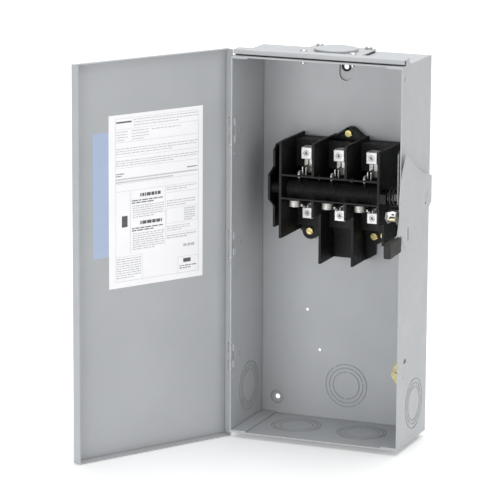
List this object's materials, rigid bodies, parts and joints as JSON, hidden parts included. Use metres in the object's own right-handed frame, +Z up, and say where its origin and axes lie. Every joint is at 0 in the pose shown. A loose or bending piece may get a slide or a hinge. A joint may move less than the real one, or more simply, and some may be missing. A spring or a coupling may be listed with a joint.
{
  "type": "ac disconnect box",
  "caption": "Wall-mounted safety switch with a hinged door standing open, a side operating handle, phase barriers, wire lugs, a rain hood and a closed conduit hub on top.",
  "frame": {"origin": "centre of the top hanging hole, on the plane of the wall behind the box", "axes": "+Z up; -Y out of the wall towards the user, along the hanging hole; +X to the right as the user faces the box, towards the handle"},
  "size_m": [0.3725, 0.3042, 0.5029],
  "materials": {
    "grey_enamel": "semi-gloss light grey baked enamel",
    "handle_enamel": "semi-gloss light grey enamel",
    "zinc_steel": "zinc-plated steel",
    "hinge_zinc": "bright zinc-plated steel",
    "cam_steel": "dark phosphated steel",
    "bracket_yellow_zinc": "yellow-passivated zinc on steel",
    "pin_yellow_zinc": "yellow-passivated pin",
    "spring_steel": "dark spring steel wire",
    "switch_phenolic": "black moulded phenolic",
    "rotor_phenolic": "black moulded phenolic",
    "silvered_copper": "silver-plated copper",
    "blade_copper": "silver-plated copper, sooted near the drum",
    "lug_aluminium": "tin-plated aluminium",
    "lug_screw_steel": "plated socket set screw",
    "brass": "bright brass",
    "grip_plastic": "dark grey moulded grip",
    "gasket_rubber": "black rubber",
    "label_white": null,
    "label_blue": null
  },
  "bodies": {
    "enclosure": {"back_panel": "grey_enamel", "base_screws": "brass", "bottom_end_wall": "grey_enamel", "earth_bracket": "bracket_yellow_zinc", "earth_screws": "bracket_yellow_zinc", "hanging_grommet": "gasket_rubber", "hinge_leaves": "hinge_zinc", "hinge_pins": "zinc_steel", "hub_closure_plate": "grey_enamel", "hub_gasket": "gasket_rubber", "hub_screws": "zinc_steel", "interlock_pin": "pin_yellow_zinc", "interlock_spring": "spring_steel", "left_side_wall": "grey_enamel", "line_contacts": "silvered_copper", "line_lug_screws": "lug_screw_steel", "line_lugs": "lug_aluminium", "load_contacts": "silvered_copper", "load_lug_screws": "lug_screw_steel", "load_lugs": "lug_aluminium", "operating_spring": "spring_steel", "rain_hood": "grey_enamel", "right_side_wall": "grey_enamel", "shaft_bushing": "zinc_steel", "switch_base": "switch_phenolic", "top_end_wall": "grey_enamel", "weld_tabs": "grey_enamel"},
    "door": {"door_pan": "grey_enamel", "rating_label": "label_blue", "instruction_label": "label_white"},
    "handle": {"handle_plate": "handle_enamel", "handle_grip": "grip_plastic", "operating_shaft": "zinc_steel", "drive_cam": "cam_steel", "shaft_ring": "zinc_steel"},
    "rotor": {"rotor_bar": "rotor_phenolic", "moving_blades": "blade_copper"},
    "interlock": {"interlock_lever": "zinc_steel", "interlock_roller": "pin_yellow_zinc"}
  },
  "joints": [
    {"name": "door_hinge", "type": "hinge", "parent": "enclosure", "child": "door", "pos_m": [-0.1168, -0.1022, -0.22], "axis": [0, 0, 1], "range_deg": [-49, 121]},
    {"name": "handle_pivot", "type": "hinge", "parent": "enclosure", "child": "handle", "pos_m": [0.119, -0.064, -0.151], "axis": [-1, 0, 0], "range_deg": [0, 54]},
    {"name": "rotor_turn", "type": "hinge", "parent": "enclosure", "child": "rotor", "pos_m": [0.0094, -0.064, -0.151], "axis": [-1, 0, 0], "range_deg": [0, 54]},
    {"name": "interlock_pivot", "type": "hinge", "parent": "enclosure", "child": "interlock", "pos_m": [0.099, -0.0915, -0.171], "axis": [1, 0, 0], "range_deg": [-12, 0], "stiffness_Nm_per_rad": 0.05, "springref_deg": 11.46}
  ],
  "couplings": [
    {"joint": "rotor_turn", "follows": "handle_pivot", "ratio": 1}
  ]
}
